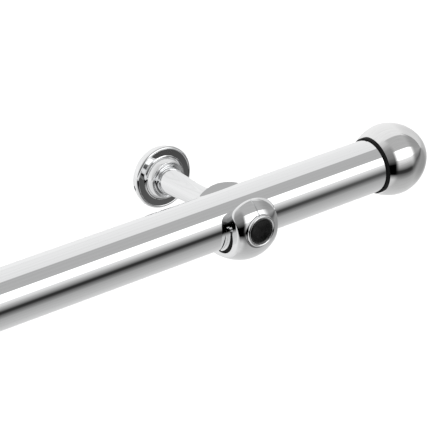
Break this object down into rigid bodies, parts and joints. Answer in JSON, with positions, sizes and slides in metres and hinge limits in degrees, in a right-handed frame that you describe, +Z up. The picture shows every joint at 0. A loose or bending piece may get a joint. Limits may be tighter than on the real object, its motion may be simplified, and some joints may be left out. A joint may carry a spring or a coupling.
{
  "type": "pool handrail",
  "caption": "Wall-mounted straight pool handrail: polished tube in open-topped cradle brackets with round wall rosettes, button-covered clamps and ball end caps.",
  "frame": {"origin": "in the wall plane, midway between the brackets, level with the rail's axis", "axes": "+X along the rail, +Y into the wall, +Z up"},
  "size_m": [1.065, 0.1373, 0.0608],
  "materials": {
    "polished_steel": "mirror polished",
    "plain_steel": "satin",
    "black_rubber": "matt",
    "nylon": "matt"
  },
  "bodies": {
    "rail": {"rail_tube": "polished_steel", "left_cap_plug": "nylon", "left_cradle": "polished_steel", "left_clamp_shoe": "polished_steel", "left_shoe_pin": "polished_steel", "left_clamp_pad": "black_rubber", "left_stem": "polished_steel", "left_base_stud": "plain_steel", "left_cradle_stud": "plain_steel", "left_wall_gasket": "black_rubber", "left_wall_plate": "plain_steel", "left_rosette": "polished_steel", "left_rosette_grub": "plain_steel", "left_collar": "polished_steel", "right_cap_plug": "nylon", "right_cradle": "polished_steel", "right_clamp_shoe": "polished_steel", "right_shoe_pin": "polished_steel", "right_clamp_pad": "black_rubber", "right_stem": "polished_steel", "right_base_stud": "plain_steel", "right_cradle_stud": "plain_steel", "right_wall_gasket": "black_rubber", "right_wall_plate": "plain_steel", "right_rosette": "polished_steel", "right_rosette_grub": "plain_steel", "right_collar": "polished_steel"},
    "left_cap": {"left_end_cap": "polished_steel", "left_cap_stud": "plain_steel", "left_cap_seal": "black_rubber"},
    "left_button": {"left_button_cap": "polished_steel", "left_button_ring": "black_rubber"},
    "left_screw": {"left_clamp_screw": "plain_steel"},
    "right_cap": {"right_end_cap": "polished_steel", "right_cap_stud": "plain_steel", "right_cap_seal": "black_rubber"},
    "right_button": {"right_button_cap": "polished_steel", "right_button_ring": "black_rubber"},
    "right_screw": {"right_clamp_screw": "plain_steel"}
  },
  "joints": [
    {"name": "left_cap_slide", "type": "slide", "parent": "rail", "child": "left_cap", "axis": [-1, 0, 0], "range_m": [0, 0.03]},
    {"name": "left_button_pull", "type": "slide", "parent": "rail", "child": "left_button", "axis": [0, -1, 0], "range_m": [0, 0.008]},
    {"name": "left_screw_turn", "type": "hinge", "parent": "rail", "child": "left_screw", "pos_m": [-0.345, -0.13, 0], "axis": [0, -1, 0], "range_deg": [0, 360]},
    {"name": "right_cap_slide", "type": "slide", "parent": "rail", "child": "right_cap", "axis": [1, 0, 0], "range_m": [0, 0.03]},
    {"name": "right_button_pull", "type": "slide", "parent": "rail", "child": "right_button", "axis": [0, -1, 0], "range_m": [0, 0.008]},
    {"name": "right_screw_turn", "type": "hinge", "parent": "rail", "child": "right_screw", "pos_m": [0.345, -0.13, 0], "axis": [0, -1, 0], "range_deg": [0, 360]}
  ]
}
